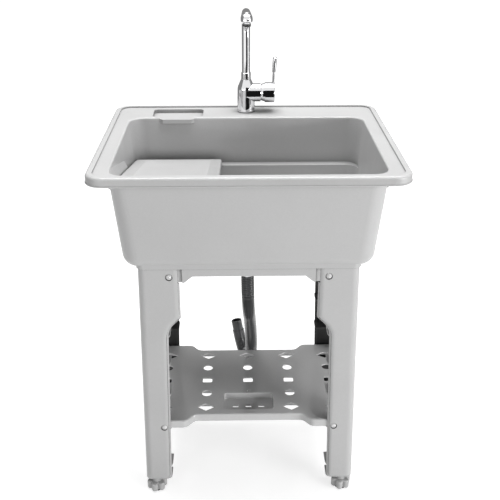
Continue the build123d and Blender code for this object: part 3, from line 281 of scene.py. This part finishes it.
def paint_crease_shade(material, reach, darkest):
    """Painted shade in the seams, steps and corners of a moulding: ambient occlusion within that reach in
    metres darkens the base colour.
    """
    tree = material.node_tree
    base_colour = tree.nodes["Principled BSDF"].inputs["Base Color"]
    surface_colour = base_colour.links[0].from_socket
    # Painted shade: the colour gets darker where ambient occlusion finds nearby surfaces.
    occlusion_shade = tree.nodes.new("ShaderNodeAmbientOcclusion")
    occlusion_shade.samples = 8
    occlusion_shade.inputs["Distance"].default_value = reach
    open_band = (0.45, 0.90)
    level = remap(tree, occlusion_shade.outputs["AO"], open_band, (darkest, 1.0))
    feed(tree, base_colour, shade(tree, surface_colour, level))
    return material


# ------------------------------------------------------------------ materials
def tub_plastic():
    """The tub's pale grey, with wide painted shade in its steps and corners."""
    return paint_crease_shade(moulded("tub_plastic", grey=0.55, gloss=0.36, coat=0.12),
                          reach=0.035, darkest=0.50)


def frame_plastic():
    """The legs' and rails' pale grey, with painted shade that darkens their narrow seams and steps."""
    return paint_crease_shade(moulded("frame_plastic", grey=0.56, gloss=0.40, coat=0.08),
                          reach=0.010, darkest=0.15)


def rear_leg_shaded_plastic():
    """Leg plastic with painted shade that makes its channel near black: what lies inside the leg's back
    skin and its outer side.
    """
    material = moulded("rear_leg_shaded_plastic", grey=0.58)
    leg_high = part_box("leg_rear_right")[1]
    most_of_skin = 0.0025
    taper_and_side = 0.01536
    tree = material.node_tree
    place = tree.nodes.new("ShaderNodeSeparateXYZ")
    feed(tree, place.inputs["Vector"], tree.nodes["Texture Coordinate"].outputs["Object"])
    within_skin = math_node(tree, "LESS_THAN", place.outputs["Y"], leg_high[1] - most_of_skin)
    from_middle = math_node(tree, "ABSOLUTE", place.outputs["X"])
    within_side = math_node(tree, "LESS_THAN", from_middle, leg_high[0] - taper_and_side)
    shaded_channel_mask = math_node(tree, "MULTIPLY", within_skin, within_side)
    base_colour = tree.nodes["Principled BSDF"].inputs["Base Color"]
    surface_colour = base_colour.links[0].from_socket
    # Painted shade: the channel inside the rear leg is coloured near black.
    feed(tree, base_colour, blend_colours(tree, shaded_channel_mask, surface_colour, plain_grey(0.022)))
    return material


def hose_plastic():
    """The drain hose's glossy charcoal, with painted shade that darkens it between its ribs."""
    return paint_crease_shade(moulded("hose_plastic", grey=0.062, gloss=0.22, tone_drift=0.06,
                                  depth=0.00002, tint=(0.98, 1.0, 1.03)),
                          reach=0.005, darkest=0.15)


def polished_chrome():
    """Plated metal: near mirror, with faint haze where hands wipe it."""
    material, tree, shader, vector = start_material("polished_chrome")
    haze_noise = noise(tree, vector, scale=45.0, detail=4.0)
    haze = remap(tree, haze_noise, (0.35, 0.75), (0.025, 0.07))
    feed(tree, shader.inputs["Roughness"], haze)
    shader.inputs["Base Color"].default_value = (0.80, 0.80, 0.81, 1.0)
    shader.inputs["Metallic"].default_value = 1.0
    return material


# Each goes by its slot in the record, apart from the rear legs' own, which paints shade in their channel.
MATERIALS = {
    "tub_plastic": tub_plastic(),
    "board_plastic": moulded("board_plastic", grey=0.45, gloss=0.38, coat=0.10),
    "frame_plastic": frame_plastic(),
    "rear_leg_shaded_plastic": rear_leg_shaded_plastic(),
    "shelf_plastic": moulded("shelf_plastic", grey=0.64, gloss=0.16, tone_drift=0.02,
                             depth=0.000008, coat=0.25),
    "knob_plastic": moulded("knob_plastic", grey=0.54, gloss=0.45),
    "white_plastic": moulded("white_plastic", grey=0.78, gloss=0.45),
    "dark_plastic": moulded("dark_plastic", grey=0.020, gloss=0.38),
    "hose_plastic": hose_plastic(),
    "pad_rubber": moulded("pad_rubber", grey=0.030, gloss=0.62, depth=0.00008),
    "seal_rubber": moulded("seal_rubber", grey=0.018, gloss=0.60, depth=0.00006),
    "screw_steel": moulded("screw_lacquer", grey=0.88, gloss=0.22, tone_drift=0.01, depth=0.00001),
    "plain_steel": metal("plain_steel", colour=(0.62, 0.62, 0.63), gloss=0.28),
    "plain_brass": metal("plain_brass", colour=(0.72, 0.56, 0.28), gloss=0.30),
    "chrome_plate": polished_chrome(),
}


def dress(piece, material):
    """Gives a piece its one material."""
    piece.data.materials.clear()
    piece.data.materials.append(material)


def dress_nodes():
    """Every CAD node wears its slot's material, and the rear legs their own, with painted shade in their
    channels.
    """
    slots = {part["node"]: part["material_slot"] for part in frame["record"]["subparts"]}
    for name, node in nodes.items():
        dress(node, MATERIALS[slots[name]])
    for side in ("left", "right"):
        dress(nodes["leg_rear_" + side], MATERIALS["rear_leg_shaded_plastic"])


# ------------------------------------------------------------------ shapes
def object_from(bm, name):
    """Ends a bmesh as an object in the scene, at the origin."""
    mesh = bpy.data.meshes.new(name)
    bm.to_mesh(mesh)
    bm.free()
    made = bpy.data.objects.new(name, mesh)
    scene.collection.objects.link(made)
    return made


def spline_points(name, points, steps):
    """Points along a smooth curve that is steered by the route's points."""
    curve = bpy.data.curves.new(name, "CURVE")
    curve.dimensions = "3D"
    curve.resolution_u = steps
    spline = curve.splines.new("NURBS")
    spline.points.add(len(points) - 1)
    for target, point in zip(spline.points, points):
        target.co = (*point, 1.0)
    spline.order_u = 3
    spline.use_endpoint_u = True
    holder = bpy.data.objects.new(name, curve)
    line = bpy.data.meshes.new_from_object(holder)
    found = [vertex.co.copy() for vertex in line.vertices]
    bpy.data.objects.remove(holder)
    bpy.data.curves.remove(curve)
    bpy.data.meshes.remove(line)
    return found


def line_length(points):
    """The length of a line of points."""
    return sum((second - first).length for first, second in zip(points, points[1:]))


def along(points, distance):
    """The place and heading at a distance along a line of points, or at its end if that comes first."""
    left = distance
    for first, second in zip(points, points[1:]):
        step = (second - first).length
        if left <= step or second is points[-1]:
            break
        left -= step
    return first.lerp(second, min(left / step, 1.0)), (second - first).normalized()


def tube_mesh(name, points, radius_at, stations, segments=40):
    """A tube of rings set square to a line of points, joined ring to ring."""
    bm = bmesh.new()
    heading = along(points, 0.0)[1]
    turn = Vector((0, 0, 1)).rotation_difference(heading)
    rings = []
    for distance in stations:
        place, new_heading = along(points, distance)
        turn = heading.rotation_difference(new_heading) @ turn
        heading = new_heading
        matrix = Matrix.Translation(place) @ turn.to_matrix().to_4x4()
        made = bmesh.ops.create_circle(bm, segments=segments, radius=radius_at(distance), matrix=matrix)
        rings.append({edge for vertex in made["verts"] for edge in vertex.link_edges})
    for first, second in zip(rings, rings[1:]):
        bmesh.ops.bridge_loops(bm, edges=list(first | second))
    bmesh.ops.recalc_face_normals(bm, faces=bm.faces)
    tube = object_from(bm, name)
    tube.data.shade_smooth()
    return tube


# ------------------------------------------------------------------ drain hose
def hose_radius(distance):
    """Plain cuff, then ribs with broad round crests, then the plain stretch."""
    crest = HOSE_DIAMETER / 2
    root = HOSE_RIB_ROOT / 2
    if distance < HOSE_CUFF or distance > HOSE_RIB_END:
        return crest
    phase = (distance - HOSE_CUFF) / HOSE_RIB_PITCH
    crest_breadth = 0.6
    return root + (crest - root) * abs(math.sin(math.pi * phase)) ** crest_breadth


def hose_stations(length):
    """Where the hose's rings lie along it: close together on the ribs, further apart on the rest."""
    steps_in_rib = 8
    rib_step = HOSE_RIB_PITCH / steps_in_rib
    plain_step = 0.004
    ribs = [HOSE_CUFF + index * rib_step for index in range(HOSE_RIB_COUNT * steps_in_rib)]
    plain_count = int((length - HOSE_RIB_END) / plain_step) + 1
    plain = [HOSE_RIB_END + index * plain_step for index in range(plain_count)]
    return [0.0, HOSE_CUFF / 2] + ribs + plain + [length]


def add_drain_hose():
    """The hose in one smooth piece, in place of its ribbed and plain CAD stretches."""
    points = spline_points("hose_line", HOSE_ROUTE, steps=24)
    length = line_length(points)
    hose = tube_mesh("drain_hose", points, hose_radius, hose_stations(length))
    dress(hose, MATERIALS["hose_plastic"])
    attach(hose, "sink")
    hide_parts("hose_ribbed", "hose_smooth")


# ------------------------------------------------------------------ camera and lights
def add_camera():
    """The photograph's viewing angle, fitted to the rim, the legs and the shelf."""
    view = bpy.data.cameras.new("view")
    view.sensor_width = 36.0
    view.lens = 56.77
    pitch = math.radians(64.29)
    heading = math.radians(-1.04)
    camera = bpy.data.objects.new("view", view)
    camera.location = (-0.0234, -1.5909, 1.2817)
    camera.rotation_euler = (pitch, 0.0, heading)
    scene.collection.objects.link(camera)
    scene.camera = camera


def area_light(name, place, aim, size, watts):
    """A soft box of that size, across and up, that faces its aim."""
    panel = bpy.data.lights.new(name, "AREA")
    panel.shape = "RECTANGLE"
    panel.size, panel.size_y = size
    panel.energy = watts
    lamp = bpy.data.objects.new(name, panel)
    lamp.location = place
    lamp.rotation_mode = "QUATERNION"
    lamp.rotation_quaternion = (Vector(aim) - Vector(place)).to_track_quat("-Z", "Y")
    scene.collection.objects.link(lamp)


def add_lights():
    """One soft box above and behind, a low weak one from the left and a low strong one from the right."""
    area_light("overhead", place=(0.10, 0.35, 2.9), aim=(0.0, 0.0, 0.7), size=(2.4, 1.6), watts=86.0)
    area_light("front_left", place=(-1.9, -2.6, 0.75), aim=(0.0, 0.0, 0.45), size=(1.6, 0.7), watts=25.0)
    area_light("key_right", place=(2.5, -1.8, 0.75), aim=(0.0, 0.0, 0.55), size=(1.2, 0.8), watts=58.0)


# ------------------------------------------------------------------ stage
def bare_material(name):
    """A material with only its output left: it, its tree and the output's surface socket."""
    material = bpy.data.materials.new(name)
    material.use_nodes = True
    tree = material.node_tree
    tree.nodes.remove(tree.nodes["Principled BSDF"])
    return material, tree, tree.nodes["Material Output"].inputs["Surface"]


def glow_node(tree, level):
    """An Emission node of one grey."""
    glow = tree.nodes.new("ShaderNodeEmission")
    glow.inputs["Color"].default_value = plain_grey(level)
    return glow


def light_path_mask(tree):
    """1 for what the camera sees itself, in a mirror or through glass; 0 for what lights the object."""
    path = tree.nodes.new("ShaderNodeLightPath")
    seen = math_node(tree, "MAXIMUM", path.outputs["Is Camera Ray"], path.outputs["Is Glossy Ray"])
    return math_node(tree, "MAXIMUM", seen, path.outputs["Is Transmission Ray"])


def mirror_card(name, corner, across, height, level):
    """An upright sheet that only mirrors see: from a low corner, across the floor by (x, y), and up."""
    bm = bmesh.new()
    near = Vector(corner)
    far = near + Vector((*across, 0.0))
    foot = bm.edges.new([bm.verts.new(near), bm.verts.new(far)])
    grown = bmesh.ops.extrude_edge_only(bm, edges=[foot])["geom"]
    top = [item for item in grown if isinstance(item, bmesh.types.BMVert)]
    bmesh.ops.translate(bm, verts=top, vec=(0.0, 0.0, height))
    card = object_from(bm, name)
    material, tree, surface = bare_material(name)
    feed(tree, surface, glow_node(tree, level).outputs["Emission"])
    dress(card, material)
    card.visible_camera = False
    card.visible_diffuse = False
    card.visible_shadow = False
    card.visible_transmission = False
    card.visible_volume_scatter = False


def add_mirror_cards():
    """Dark and grey sheets round the stage, for the tap's streaks and darker edges."""
    black = 0.01
    grey = 0.26
    mirror_card("dark_far", corner=(0.05, -1.9, 0.0), across=(2.4, 0.0), height=0.95, level=black)
    tap_low, tap_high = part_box("faucet_body")
    left_of_axis = 0.004
    ahead_of_axis = 0.090
    below_foot = 0.0335
    before_tap = (-left_of_axis, (tap_low[1] + tap_high[1]) / 2 - ahead_of_axis, tap_low[2] - below_foot)
    mirror_card("dark_near", corner=before_tap, across=(0.074, 0.0), height=0.13, level=black)
    mirror_card("grey_left", corner=(-1.6, -0.5, 0.0), across=(0.0, 3.5), height=2.4, level=grey)
    mirror_card("grey_right", corner=(1.6, 0.04, 0.0), across=(0.0, 3.0), height=2.4, level=grey)
    mirror_card("grey_back", corner=(-1.6, 3.0, 0.0), across=(3.2, 0.0), height=2.4, level=grey)


def add_world():
    """White to the camera and to mirrors, and a weak grey light on the object."""
    world = bpy.data.worlds.new("studio")
    scene.world = world
    world.use_nodes = True
    tree = world.node_tree
    background = tree.nodes["Background"]
    lit_by = plain_grey(0.10)
    seen_as = plain_grey(1.0)
    feed(tree, background.inputs["Color"], blend_colours(tree, light_path_mask(tree), lit_by, seen_as))
    background.inputs["Strength"].default_value = 1.0


def add_floor():
    """A pale sheet under the sink that reads as white and keeps the shadow under the feet."""
    bm = bmesh.new()
    bmesh.ops.create_grid(bm, x_segments=1, y_segments=1, size=12.0)
    floor = object_from(bm, "floor")
    material, tree, surface = bare_material("floor_sheet")
    matt = tree.nodes.new("ShaderNodeBsdfDiffuse")
    matt.inputs["Color"].default_value = plain_grey(0.60)

    # The glow is weaker near the sink, where the lamps also light the sheet.
    coordinates = tree.nodes.new("ShaderNodeTexCoord")
    from_sink = tree.nodes.new("ShaderNodeVectorMath")
    from_sink.operation = "LENGTH"
    feed(tree, from_sink.inputs["Vector"], coordinates.outputs["Object"])
    level = remap(tree, from_sink.outputs["Value"], (0.9, 2.6), (0.72, 1.0))
    glow = glow_node(tree, 1.0)
    feed(tree, glow.inputs["Strength"], math_node(tree, "MULTIPLY", light_path_mask(tree), level))

    both = tree.nodes.new("ShaderNodeAddShader")
    feed(tree, both.inputs[0], matt.outputs["BSDF"])
    feed(tree, both.inputs[1], glow.outputs["Emission"])
    feed(tree, surface, both.outputs["Shader"])
    dress(floor, material)


add_camera()
dress_nodes()
add_drain_hose()
add_lights()
add_mirror_cards()
add_world()
add_floor()
